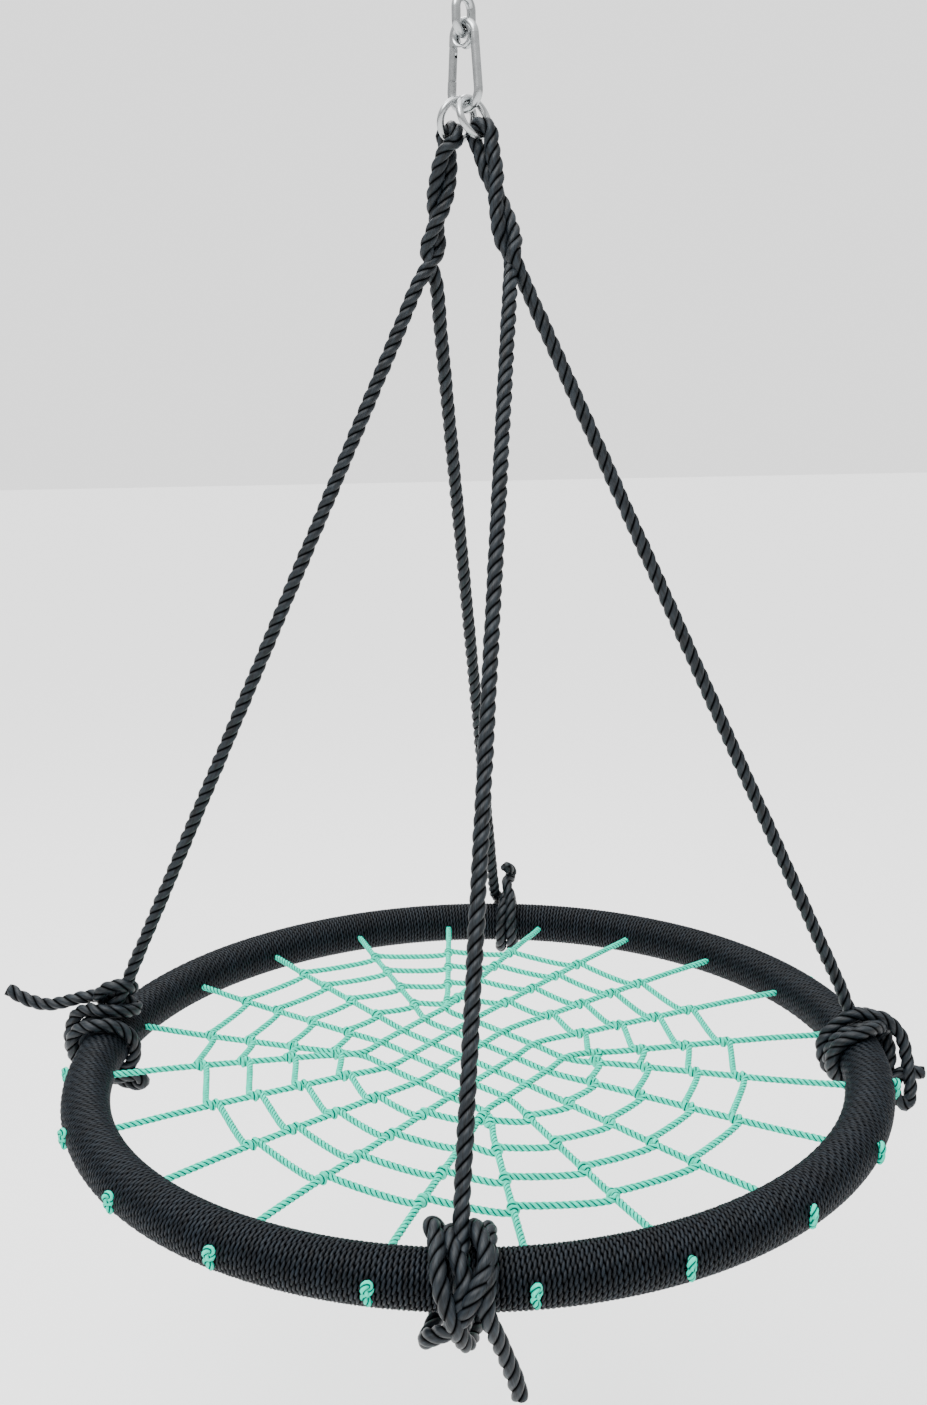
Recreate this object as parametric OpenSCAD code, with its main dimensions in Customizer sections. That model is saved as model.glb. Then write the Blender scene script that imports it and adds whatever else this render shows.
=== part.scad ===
// Round net swing: a cord-wound steel hoop with a knotted net, hung by two ropes from a snap hook.
// The origin is where the top link bears on whatever carries the swing. +Z is up.

/* [Hoop] */
// Outer diameter of the finished hoop, over the wound cord
hoop_od = 1016; // [700:2:1300]
// Thickness of the hoop over the wound cord
tube_od = 58; // [50:1:80]
// Diameter of the cord wound round the hoop
cord_d = 5; // [3:0.5:6]
// Outer diameter of the bent steel tube inside
steel_od = 32; // [20:1:38]
// Wall of the steel tube
steel_wall = 1.5; // [1:0.5:3]
// Drop from the hang point to the middle of the hoop
hang_drop = 1235; // [900:5:1700]

/* [Net] */
// Diameter of the net rope
net_rope_d = 7; // [5:0.5:9]
// Number of places where net ropes pass through the hoop
anchors = 20; // [20]
// Direction of the first of those places, seen from above
first_anchor = 94.8; // [90:0.2:100]
// Distance between the crossings along one family of grid ropes
pitch_a = 43.5; // [36:0.5:54]
// Distance between the crossings along the other family
pitch_b = 55.5; // [46:0.5:62]
// Mean radius of the outermost ring rope
ring_1_r = 344; // [325:1:385]
// Mean radius of the second ring rope
ring_2_r = 288; // [272:1:312]
// Mean radius of the third ring rope
ring_3_r = 228; // [214:1:255]
// Mean radius of the innermost ring rope
ring_4_r = 168; // [162:1:200]
// Share by which the hand-tied rings are longer one way than the other
ring_oval = 0.065; // [0:0.005:0.08]
// Hole for a net rope through the hoop
anchor_hole_d = 9; // [8:0.5:12]

/* [Hanging ropes] */
// Diameter of the hanging rope
rope_d = 16; // [10:1:18]
// Height of the twisted stretch below the steel rings
twist_len = 145; // [100:5:200]
// Distance between turns of a hitch along the hoop
hitch_pitch = 20; // [19:1:26]

/* [Snap hook] */
// Overall length of the snap hook
hook_len = 100; // [90:1:140]
// Diameter of its round bar
hook_bar_d = 10; // [8:0.5:10.5]
// Outer width at the wide lower end
hook_w = 48; // [46:1:60]
// Hole of the eyelet that takes the top link
eyelet_hole_d = 15; // [14:0.5:17]

/* [Steel rings] */
// Inner diameter of each steel ring
steel_ring_id = 36; // [35:1:46]
// Bar diameter of each steel ring
steel_ring_bar_d = 8; // [6:0.5:8]

/* [Top link] */
// Bar diameter of the top link
link_bar_d = 10; // [8:0.5:10.5]
// Length of the opening in the link
link_inner_len = 28; // [28:1:50]
// Width of the opening in the link
link_inner_w = 16; // [15:0.5:24]

/* [Hidden] */

$fn = 64;
Z = [0, 0, 1];

// Running gap between pieces that only touch
gap = 0.3;
// The snap hook hangs turned about the vertical by this much
hook_turn = -40;

// ---- Hoop ----
tube_r = tube_od / 2;
hoop_r = hoop_od / 2 - tube_r;
hoop_z = -hang_drop;
// The ropes are tied by hand, and the hoop hangs this far to the left of the hang point
hoop_x = -7;
padding_r = tube_r - cord_d;

// ---- Top link and snap hook, in the hook's own plane: X across, Z up ----
link_bow_r = (link_inner_w + link_bar_d) / 2;
link_low_z = -link_inner_len - link_bar_d / 2;
hook_bar_r = hook_bar_d / 2;
eyelet_hole_r = eyelet_hole_d / 2;
eyelet_wall = 1.8;
eyelet_flange_r = eyelet_hole_r + 5;
eyelet_half = link_inner_w / 2 - 1.5;
// The throat of the eyelet is rounded to suit the bow of the link
throat_r = link_inner_w / 2 - 0.5;
eye_r = eyelet_hole_r + eyelet_wall + gap + hook_bar_r;
eye_z = -link_inner_len + gap - eyelet_hole_r;
basket_r = hook_w / 2 - hook_bar_r;
basket_z = eye_z + eye_r + hook_bar_r - hook_len + hook_bar_r + basket_r;
// Slight swelling where a straight side meets an arc
joint_bead = 0.04;
// Lean of the straight sides, which touch both arcs
side_lean = asin((basket_r - eye_r) / (eye_z - basket_z));
eye_side = [eye_r * cos(side_lean), eye_z + eye_r * sin(side_lean)];
basket_side = [basket_r * cos(side_lean), basket_z + basket_r * sin(side_lean)];
side_len = norm(eye_side - basket_side);

// ---- Gate, along the left side: its own frame has the pin at the origin and Z up the side ----
gate_r = hook_bar_r - gap;
gate_pin_r = 1.5;
tongue_half = 2;
tongue_r = hook_bar_r - 1;
ear_r = hook_bar_r + 0.2;
pin_drop = hook_bar_d * 1.5 + 1;
nose_len = hook_bar_d;
gate_len = side_len - pin_drop - nose_len - 0.8;
catch_h = 6;
slot_depth = tongue_r + 2;
plunger_r = 2.5;
plunger_len = 5;
spring_coils = 6;
spring_wire_r = 0.45;
spring_len = 9;

// ---- Steel rings on the basket ----
steel_ring_bar_r = steel_ring_bar_d / 2;
steel_ring_r = steel_ring_id / 2 + steel_ring_bar_r;
// Distance of each ring along the basket from its lowest point
ring_shift = 8;
// How far each ring leans out from the vertical
ring_lean = 20;
// Directions of the two ring planes, seen from above
ring_turn_left = 35;
ring_turn_right = 47;
ring_hang = steel_ring_id / 2 - hook_bar_r - gap;

// ---- Hanging ropes ----
rope_r = rope_d / 2;
// Directions of the four hitches on the hoop, seen from above
hitch_left = 173;
hitch_back = 84;
hitch_right = -1;
hitch_front = 269.3;
turn_step = 24;
wrap_r = (tube_r + rope_r + 0.4) / cos(turn_step / 2);
saddle_r = (steel_ring_bar_r + rope_r + 0.4) / cos(15);
leg_gap = rope_r + 0.8;
// Where each hitch starts and ends round the tube: 0 is outward and 90 is upward
turns_left = [75, 410];
turns_back = [60, 410];
turns_right = [60, 425];
turns_front = [-20, 785];
// Free ends beyond the hitches: outward, along the hoop and upward from the middle of the tube
tail_left = [[131, -8, 67], [108, -6, 64], [84, -4, 60], [60, -2, 54], [35, 0, 48]];
tail_back = [[10, -6, 86], [28, -6, 82], [40, -4, 68], [40, -2, 48]];
tail_right = [[60, -27, -66], [64, -22, -44], [62, -14, -18], [48, -6, 10]];
tail_front = [[24, 16, -100], [30, 13, -80], [36, 8, -60], [40, 4, -40]];

// ---- Net ----
net_r = net_rope_d / 2;
// Half the height between ropes that cross, so that they only touch
level = net_r + 0.3;
// The innermost ring turns sharply past the corners of the grid and takes a little more height
function ring_level(k) = k == 4 ? level + 0.5 : level;
grid_middle = [-13.5, -4];
ring_middle = [-14.5, -2];
ring_oval_dir = 122;
dir_a = [cos(52.2), sin(52.2)];
dir_b = [cos(-45.8), sin(-45.8)];
net_rings = [ring_1_r, ring_2_r, ring_3_r, ring_4_r];
stopper_r = 9;
stopper_len = 13;

// ================= Functions =================

function unit(v) = v / norm(v);
function flat_dir(az) = [cos(az), sin(az), 0];
function clamp_index(i, n) = min(max(i, 0), n - 1);

// A point given in the tube's own directions: along the hoop, outward and upward
function hoop_point(az, along, out, up) =
    let (a = az + along / hoop_r * 180 / PI)
    [hoop_x + (hoop_r + out) * cos(a), (hoop_r + out) * sin(a), hoop_z + up];

// Directions of travel along an open row of points
function tangents(p) =
    let (n = len(p))
    [for (i = [0:n - 1]) unit(p[clamp_index(i + 1, n)] - p[clamp_index(i - 1, n)])];

// A side direction carried along the row with no twist of its own
function carry(side, t) = unit(side - (side * t) * t);
function any_side(t) = abs(t[2]) < 0.8 ? cross(t, Z) : cross(t, [1, 0, 0]);
function side_dirs(t) =
    [for (i = 0, s = unit(any_side(t[0])); i < len(t); i = i + 1, s = i < len(t) ? carry(s, t[i]) : s) s];

function circle_at(c, t, s, r, sides) =
    let (b = cross(t, s))
    [for (k = [0:sides - 1]) c + r * (cos(360 * k / sides) * s + sin(360 * k / sides) * b)];

function ring_faces(rows, sides, closed) =
    [for (i = [0:(closed ? rows - 1 : rows - 2)], k = [0:sides - 1])
        let (a = i * sides, b = ((i + 1) % rows) * sides, m = (k + 1) % sides)
        each [[a + k, b + k, b + m], [a + k, b + m, a + m]]];

// ---- Steel ring geometry, in the hook's plane turned to the world ----
hook_x = flat_dir(hook_turn);
function basket_point(s) = hook_x * s + Z * (basket_z - sqrt(basket_r * basket_r - s * s));
// Which way a ring hangs: side is -1 for the left ring and 1 for the right one
function ring_down(side) = sin(ring_lean) * side * hook_x - cos(ring_lean) * Z;
function ring_turn(side) = side < 0 ? ring_turn_left : ring_turn_right;
function ring_across(side) = carry(flat_dir(ring_turn(side)), ring_down(side));
function ring_centre(side) = basket_point(ring_shift * side) + ring_hang * ring_down(side);
// Where a rope lies in its ring: a little to one side of the lowest point
saddle_angle = 13;
function saddle_down(side) =
    cos(saddle_angle) * ring_down(side) + sin(saddle_angle) * side * ring_across(side);
function saddle(side) = ring_centre(side) + steel_ring_r * saddle_down(side);
function ring_normal(side) = cross(ring_across(side), ring_down(side));

// ---- Hitches: turns round the tube, then the standing part up to the twist ----
function hitch_centre(az) = hoop_point(az, 0, 0, 0);
// Foot of the twist, between the ring and the two hitches
function twist_foot(side, az_1, az_2, share) =
    let (top = saddle(side),
         aim = share * hitch_centre(az_1) + (1 - share) * hitch_centre(az_2),
         f = twist_len / (top[2] - aim[2]))
    top + f * (aim - top);
function hitch_turns(az, turns, way) =
    let (count = ceil((turns[1] - turns[0]) / turn_step), total = turns[1] - turns[0])
    [for (k = [0:count])
        let (phi = turns[0] + total * k / count, along = way * hitch_pitch * total / 360 * (k / count - 0.5))
        hoop_point(az, along, wrap_r * cos(phi), wrap_r * sin(phi))];
// From the free end, round the hoop and up to the foot of the twist
function leg(az, turns, way, tail, foot) =
    let (half = way * hitch_pitch * (turns[1] - turns[0]) / 720,
         end = [for (p = tail) hoop_point(az, p[1] - half, p[0], p[2])],
         over = hoop_point(az, half, -10, tube_r + rope_r + 24))
    concat(end, hitch_turns(az, turns, way), [for (f = [0, 0.3, 0.6, 0.9]) over + f * (foot - over)]);

// One leg of the twisted stretch, from its foot up to the ring
function twisted(top, foot, from_az, to_az, start) =
    [for (k = [12:-1:1])
        let (f = k / 12,
             turned = max(0, (f - start) / (1 - start)),
             az = from_az + (to_az - from_az) * turned,
             off = leg_gap + (saddle_r - leg_gap) * pow(max(0, 1 - f / max(start, 0.2)), 2))
        top + f * (foot - top) + off * flat_dir(az)];
// The bight over the ring's bar, from the leg that comes up to the leg that goes down
function bight(side, way) =
    let (c = saddle(side), n = way * ring_normal(side), up = -saddle_down(side))
    [for (a = [0:30:180]) c + saddle_r * (cos(a) * n + sin(a) * up)];

function reversed(p) = [for (i = [len(p) - 1:-1:0]) p[i]];

left_foot = twist_foot(-1, hitch_left, hitch_back, 0.5);
right_foot = twist_foot(1, hitch_right, hitch_front, 0.65);

function leg_top_dir(side, way) =
    let (n = way * ring_normal(side))
    atan2(n[1], n[0]);

// ---- Net geometry ----
function anchor_dir(m) = first_anchor - 360 / anchors * (m - 1);
function anchor_in(m) = (hoop_r - tube_r - 1) * [cos(anchor_dir(m)), sin(anchor_dir(m))];
function grid_point(i, j) = grid_middle + (i - 3) * pitch_b * dir_b + (3 - j) * pitch_a * dir_a;
// The grid crossing from which the rope of each anchor fans out
function fan_point(m) =
    m == 1 ? grid_point(1, 1)
    : m <= 6 ? grid_point(m - 1, 1)
    : m <= 11 ? grid_point(5, m - 6)
    : m <= 16 ? grid_point(17 - m, 5)
    : grid_point(1, 22 - m);
// Ropes of family a lie above the grid's middle plane, and those of family b below it
function is_a(m) = (m >= 2 && m <= 6) || (m >= 12 && m <= 16);
// The rings are ovals: in these coordinates they are circles
function to_round(p) =
    let (d = p - ring_middle, c = cos(ring_oval_dir), s = sin(ring_oval_dir))
    [(d[0] * c + d[1] * s) / (1 + ring_oval), (d[1] * c - d[0] * s) / (1 - ring_oval)];
function ring_cross(r, m) =
    let (p = fan_point(m), q = anchor_in(m), a = to_round(p), v = to_round(q) - a,
         vv = v * v, av = a * v, f = (-av + sqrt(av * av - vv * (a * a - r * r))) / vv)
    p + f * (q - p);
function at_level(p, z) = [hoop_x + p[0], p[1], hoop_z + z];

// Half of a net rope, from its stopper knot outside the hoop to the grid
function net_half(m, z) =
    let (d = anchor_dir(m))
    concat(
        [for (o = [stopper_len + 1, stopper_len - 1, stopper_len - 5, 4.5, 1.2, 0.6]) hoop_point(d, 0, tube_r + o, 0)],
        [hoop_point(d, 0, 0, 0), hoop_point(d, 0, -tube_r - 1, 0)],
        [for (r = net_rings) at_level(ring_cross(r, m), z)]);
function half_radii() = concat(
    [0.45, 0.85, 1, 1, 0.8] * stopper_r,
    [for (i = [0:6]) net_r]);

// ================= Shared shapes =================

// A rope as one closed tube; radii may swell at a knot
module rope(points, radii, sides) {
    t = tangents(points);
    s = side_dirs(t);
    n = len(points);
    polyhedron(
        points = [for (i = [0:n - 1]) each circle_at(points[i], t[i], s[i], radii[i], sides)],
        faces = concat(
            ring_faces(n, sides, false),
            [for (k = [1:sides - 2]) [0, k, k + 1]],
            [for (k = [1:sides - 2]) [(n - 1) * sides, (n - 1) * sides + k + 1, (n - 1) * sides + k]]),
        convexity = 8);
}

// A rope whose ends are spliced into one ring
module closed_rope(points, r, sides) {
    n = len(points);
    polyhedron(
        points = [for (i = [0:n - 1])
            let (t = unit(points[(i + 1) % n] - points[(i + n - 1) % n]))
            each circle_at(points[i], t, unit(cross(t, Z)), r, sides)],
        faces = ring_faces(n, sides, true),
        convexity = 8);
}

// Part of a bar bent to a circle in the XZ plane, from one angle through a sweep
module bent_bar(centre_z, r, bar_r, from, sweep) {
    translate([0, 0, centre_z]) rotate([90, 0, 0]) rotate([0, 0, from])
        rotate_extrude(angle = sweep) translate([r, 0]) circle(r = bar_r);
}

// Puts a piece made in the hook's plane into its place
module in_hook_plane() {
    rotate([0, 0, hook_turn]) children();
}

// Puts a piece made in the gate's frame into the hook's plane
module at_gate_pin() {
    translate([-eye_side[0], 0, eye_side[1]]) rotate([0, side_lean, 0]) translate([0, 0, -pin_drop]) children();
}

module cross_cylinder(r, h) {
    rotate([90, 0, 0]) cylinder(r = r, h = h, center = true);
}

module hoop_band(outer_r, inner_r) {
    translate([hoop_x, 0, hoop_z]) difference() {
        rotate_extrude() translate([hoop_r, 0]) difference() {
            circle(r = outer_r);
            circle(r = inner_r);
        }
        for (m = [1:anchors]) rotate([0, 0, anchor_dir(m)])
            translate([hoop_r - tube_r - 5, 0, 0]) rotate([0, 90, 0])
                cylinder(r = anchor_hole_d / 2, h = tube_od + 10);
    }
}

module steel_ring(side) {
    c = ring_centre(side);
    n = ring_normal(side);
    translate(c) rotate([0, acos(n[2]), atan2(n[1], n[0])])
        rotate_extrude() translate([steel_ring_r, 0]) circle(r = steel_ring_bar_r);
}

module hanging_rope(side, foot, az_1, turns_1, way_1, tail_1, az_2, turns_2, way_2, tail_2, way, start, turn) {
    dir_1 = leg_top_dir(side, way);
    dir_2 = leg_top_dir(side, -way);
    points = concat(
        leg(az_1, turns_1, way_1, tail_1, foot),
        twisted(saddle(side), foot, dir_1, dir_1 - turn, start),
        bight(side, way),
        reversed(twisted(saddle(side), foot, dir_2, dir_2 - turn, start)),
        reversed(leg(az_2, turns_2, way_2, tail_2, foot)));
    rope(points, [for (p = points) rope_r], 10);
}

module net_rope(m_1, m_2, grid, z) {
    points = concat(
        net_half(m_1, z),
        [for (p = grid) at_level(p, z)],
        reversed(net_half(m_2, z)));
    radii = concat(half_radii(), [for (p = grid) net_r], reversed(half_radii()));
    rope(points, radii, 8);
}

module net_rope_a(i) {
    color("mediumaquamarine") net_rope(17 - i, 1 + i, [for (j = [5:-1:1]) grid_point(i, j)], level);
}

module net_rope_b(j) {
    color("mediumaquamarine")
        net_rope(j == 1 ? 1 : 22 - j, 6 + j, [for (i = [1:5]) grid_point(i, j)], -level);
}

module net_ring(k) {
    color("mediumaquamarine")
        closed_rope(
            [for (m = [1:anchors]) at_level(ring_cross(net_rings[k - 1], m), (is_a(m) ? -1 : 1) * ring_level(k))],
            net_r, 8);
}

// ================= Pieces =================

// Chain link that the snap hook hangs in
module hang_link() {
    top_z = link_bar_d / 2 - link_bow_r;
    low_z = link_low_z + link_bow_r;
    color("silver") in_hook_plane() rotate([0, 0, 90]) {
        bent_bar(top_z, link_bow_r, link_bar_d / 2, 0, 180);
        bent_bar(low_z, link_bow_r, link_bar_d / 2, 180, 180);
        for (s = [-1, 1]) translate([s * link_bow_r, 0, low_z])
            cylinder(d = link_bar_d, h = top_z - low_z);
    }
}

// Bent bar of the snap hook, with a flat tongue for the gate's pin and a catch on its nose
module snap_hook() {
    color("silver") in_hook_plane() {
        bent_bar(eye_z, eye_r, hook_bar_r, side_lean, 180 - 2 * side_lean);
        bent_bar(basket_z, basket_r, hook_bar_r, 180 - side_lean, 180 + 2 * side_lean);
        translate([basket_side[0], 0, basket_side[1]]) rotate([0, -side_lean, 0])
            cylinder(r = hook_bar_r, h = side_len);
        for (s = [-1, 1], p = [eye_side, basket_side]) translate([s * p[0], 0, p[1]])
            sphere(r = hook_bar_r + joint_bead);
        at_gate_pin() {
            translate([0, 0, ear_r + 0.3]) cylinder(r = hook_bar_r, h = pin_drop - ear_r - 0.3);
            translate([0, 0, pin_drop - side_len]) cylinder(r = hook_bar_r, h = nose_len);
            difference() {
                union() {
                    translate([-tongue_r, -tongue_half, 0]) cube([2 * tongue_r, 2 * tongue_half, ear_r + 1]);
                    cross_cylinder(tongue_r, 2 * tongue_half);
                }
                cross_cylinder(gate_pin_r + 0.05, 3 * tongue_half);
            }
            translate([-tongue_r, -tongue_half, -gate_len - 1.8])
                cube([tongue_r + 2, 2 * tongue_half, catch_h + 1.5]);
        }
    }
}

// Grooved steel eyelet in the narrow end of the hook
module hook_eyelet() {
    color("gainsboro") in_hook_plane() translate([0, 0, eye_z]) rotate([90, 0, 0]) difference() {
        cylinder(r = eyelet_flange_r, h = 2 * eyelet_half, center = true);
        rotate_extrude() difference() {
            translate([0, -eyelet_half - 1]) square([eyelet_hole_r + throat_r, 2 * eyelet_half + 2]);
            translate([eyelet_hole_r + throat_r, 0]) circle(r = throat_r);
        }
        rotate_extrude() translate([eye_r, 0]) circle(r = hook_bar_r + gap);
    }
}

// Sprung gate that closes the hook
module hook_gate() {
    color("silver") in_hook_plane() at_gate_pin() difference() {
        intersection() {
            translate([0, 0, -gate_len]) cylinder(r = gate_r, h = gate_len + ear_r);
            union() {
                cross_cylinder(ear_r, 3 * gate_r);
                translate([-2 * gate_r, -2 * gate_r, -gate_len]) cube([4 * gate_r, 4 * gate_r, gate_len]);
            }
        }
        translate([-2 * gate_r, -tongue_half - 0.2, -slot_depth])
            cube([4 * gate_r, 2 * tongue_half + 0.4, slot_depth + 2 * ear_r]);
        translate([0, 0, -slot_depth - spring_len - plunger_len])
            cylinder(r = plunger_r + 0.1, h = spring_len + plunger_len + 3);
        translate([-2 * gate_r, -tongue_half - 0.3, -gate_len - 1])
            cube([2 * gate_r + 2.6, 2 * tongue_half + 0.6, catch_h + 1.6]);
        cross_cylinder(gate_pin_r, 3 * gate_r);
    }
}

// Rivet that the gate turns on
module gate_pin() {
    color("gray") in_hook_plane() at_gate_pin() cross_cylinder(gate_pin_r, 2 * gate_r + 0.6);
}

// Small plunger that the spring pushes against the tongue
module gate_plunger() {
    color("gray") in_hook_plane() at_gate_pin()
        translate([0, 0, -tongue_r - gap - plunger_len]) cylinder(r = plunger_r, h = plunger_len);
}

// Coil spring inside the gate
module gate_spring() {
    coil_r = plunger_r - spring_wire_r;
    low = -slot_depth - spring_len - plunger_len + spring_wire_r + 0.1;
    high = -tongue_r - gap - plunger_len - spring_wire_r - 0.1;
    steps = 12 * spring_coils;
    points = [for (k = [0:steps])
        [coil_r * cos(30 * k), coil_r * sin(30 * k), low + (high - low) * k / steps]];
    color("dimgray") in_hook_plane() at_gate_pin() rope(points, [for (p = points) spring_wire_r], 6);
}

module steel_ring_left() {
    color("silver") steel_ring(-1);
}

module steel_ring_right() {
    color("silver") steel_ring(1);
}

// One rope: hitched at the left and at the back, and doubled through the left ring
module hanging_rope_left() {
    color("#23262c") hanging_rope(
        -1, left_foot,
        hitch_left, turns_left, -1, tail_left,
        hitch_back, turns_back, 1, tail_back,
        -1, 0.12, 262);
}

// One rope: hitched at the right and at the front, and doubled through the right ring
module hanging_rope_right() {
    color("#23262c") hanging_rope(
        1, right_foot,
        hitch_right, turns_right, 1, tail_right,
        hitch_front, turns_front, -1, tail_front,
        1, 0.35, 268);
}

module hoop_tube() {
    color("gray") hoop_band(steel_od / 2, steel_od / 2 - steel_wall);
}

module hoop_padding() {
    color("dimgray") hoop_band(padding_r, steel_od / 2);
}

module hoop_winding() {
    color("#23262c") hoop_band(tube_r, padding_r);
}

hang_link();
snap_hook();
hook_eyelet();
hook_gate();
gate_pin();
gate_plunger();
gate_spring();
steel_ring_left();
steel_ring_right();
hanging_rope_left();
hanging_rope_right();
hoop_tube();
hoop_padding();
hoop_winding();
for (i = [1:5]) {
    net_rope_a(i);
    net_rope_b(i);
}
for (k = [1:4]) net_ring(k);
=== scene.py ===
# %% [markdown]
# # A round net swing
# A steel hoop, wound with black cord, carries a knotted turquoise net. Two black ropes hold it: each is
# doubled through a welded steel ring, and both rings hang in one snap hook on a chain link.
# The metal pieces come ready from the CAD model. What is made here is all that is soft: the laid ropes,
# the net and the wound cord, whose strands give the swing its look.

# %% Load the frame
import bpy
import numpy as np
from math import pi, sin, cos, radians, degrees, sqrt, atan2
from mathutils import Matrix, Vector


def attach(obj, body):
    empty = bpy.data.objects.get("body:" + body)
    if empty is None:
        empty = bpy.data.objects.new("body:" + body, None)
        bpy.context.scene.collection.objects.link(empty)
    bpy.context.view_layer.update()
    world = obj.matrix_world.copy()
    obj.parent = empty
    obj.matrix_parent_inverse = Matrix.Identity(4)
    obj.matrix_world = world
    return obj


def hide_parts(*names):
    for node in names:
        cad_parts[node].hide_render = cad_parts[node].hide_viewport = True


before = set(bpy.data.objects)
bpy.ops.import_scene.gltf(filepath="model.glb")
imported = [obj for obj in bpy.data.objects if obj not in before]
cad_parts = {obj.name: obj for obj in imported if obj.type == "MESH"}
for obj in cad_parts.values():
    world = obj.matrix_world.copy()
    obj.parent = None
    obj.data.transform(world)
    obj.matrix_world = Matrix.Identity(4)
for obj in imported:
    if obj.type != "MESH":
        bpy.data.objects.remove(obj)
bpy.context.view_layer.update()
MM = 0.001
bpy.ops.object.select_all(action="DESELECT")

# %% [markdown]
# ## Camera
# The swing hangs a little below the eye of someone who stands two steps away, so the camera looks
# slightly down and sees the net as a flat oval. The lens is set by its focal length over a 36 mm sensor.

# %% Camera
eye = Vector((-14.7, -1681.7, -438.2)) * MM
look_down = radians(11.523)
roll = radians(-1.103)
ahead = Vector((0, cos(look_down), -sin(look_down)))
level_right = Vector((1, 0, 0))
level_up = level_right.cross(ahead)
right = cos(roll) * level_right + sin(roll) * level_up
up = right.cross(ahead)
bpy.ops.object.camera_add(location=eye)
camera = bpy.context.object
camera.matrix_world = Matrix((
    (right.x, up.x, -ahead.x, eye.x),
    (right.y, up.y, -ahead.y, eye.y),
    (right.z, up.z, -ahead.z, eye.z),
    (0, 0, 0, 1)))
camera.data.sensor_fit = "HORIZONTAL"
camera.data.sensor_width = 36
camera.data.lens = 55.5
camera.data.clip_start = 0.05
bpy.context.scene.camera = camera
print("camera at", [round(v, 3) for v in eye])

# %% [markdown]
# ## Floor and light
# A pale floor lies where the ground would be under a low swing, and a bright, even sky fills in from all
# sides. One large lamp above and in front gives the ropes their soft highlights.

# %% Floor, sky and lamps
FLOOR_Z = -1.95
bpy.ops.mesh.primitive_plane_add(size=60, location=(0, 0, FLOOR_Z))
floor = bpy.context.object
floor.name = "floor"
floor_paint = bpy.data.materials.new("pale_floor")
floor_paint.use_nodes = True
shader = floor_paint.node_tree.nodes["Principled BSDF"]
shader.inputs["Base Color"].default_value = (0.93, 0.93, 0.93, 1)
shader.inputs["Roughness"].default_value = 0.9
shader.inputs["Specular IOR Level"].default_value = 0.1
floor.data.materials.append(floor_paint)

sky = bpy.data.worlds.new("studio_sky")
bpy.context.scene.world = sky
sky.use_nodes = True
nodes, links = sky.node_tree.nodes, sky.node_tree.links
backdrop = nodes["Background"]
backdrop.inputs["Color"].default_value = (1, 1, 1, 1)
backdrop.inputs["Strength"].default_value = 1.74
direction = nodes.new("ShaderNodeTexCoord")
split = nodes.new("ShaderNodeSeparateXYZ")
links.new(direction.outputs["Generated"], split.inputs["Vector"])
climb = nodes.new("ShaderNodeMapRange")
climb.inputs["From Min"].default_value = 0.0
climb.inputs["From Max"].default_value = 0.9
climb.inputs["To Min"].default_value = 0.55
climb.inputs["To Max"].default_value = 2.0
links.new(split.outputs["Z"], climb.inputs["Value"])
dome = nodes.new("ShaderNodeBackground")
dome.inputs["Color"].default_value = (1, 1, 1, 1)
links.new(climb.outputs["Result"], dome.inputs["Strength"])
seen = nodes.new("ShaderNodeLightPath")
either = nodes.new("ShaderNodeMixShader")
links.new(seen.outputs["Is Camera Ray"], either.inputs["Fac"])
links.new(dome.outputs["Background"], either.inputs[1])
links.new(backdrop.outputs["Background"], either.inputs[2])
links.new(either.outputs["Shader"], nodes["World Output"].inputs["Surface"])


def lamp(name, place, aim, size, watts):
    """A square soft lamp at a place, turned to a point."""
    bpy.ops.object.light_add(type="AREA", location=place)
    light = bpy.context.object
    light.name = name
    light.data.size = size
    light.data.energy = watts
    light.rotation_euler = (Vector(aim) - Vector(place)).to_track_quat("-Z", "Y").to_euler()


lamp("key_lamp", (-1.2, -2.0, 2.2), (0, 0, -1.1), 1.8, 110)
lamp("back_lamp", (-0.6, 2.4, 2.0), (0, 0, -1.1), 1.6, 70)
bpy.ops.object.light_add(type="SUN", location=(0, 0, 4), rotation=(radians(12), radians(-10), 0))
overhead = bpy.context.object
overhead.name = "overhead_light"
overhead.data.energy = 2.6
overhead.data.angle = radians(70)
print("floor at", FLOOR_Z)

# %% [markdown]
# ## Smooth routes
# A rope bends smoothly, so each route is a few points joined by a smooth curve, and then cut into equal
# short steps. A frame of two side directions is carried along the curve without any twist of its own, so
# that the only twist in a rope is the one its maker gave it.

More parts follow.
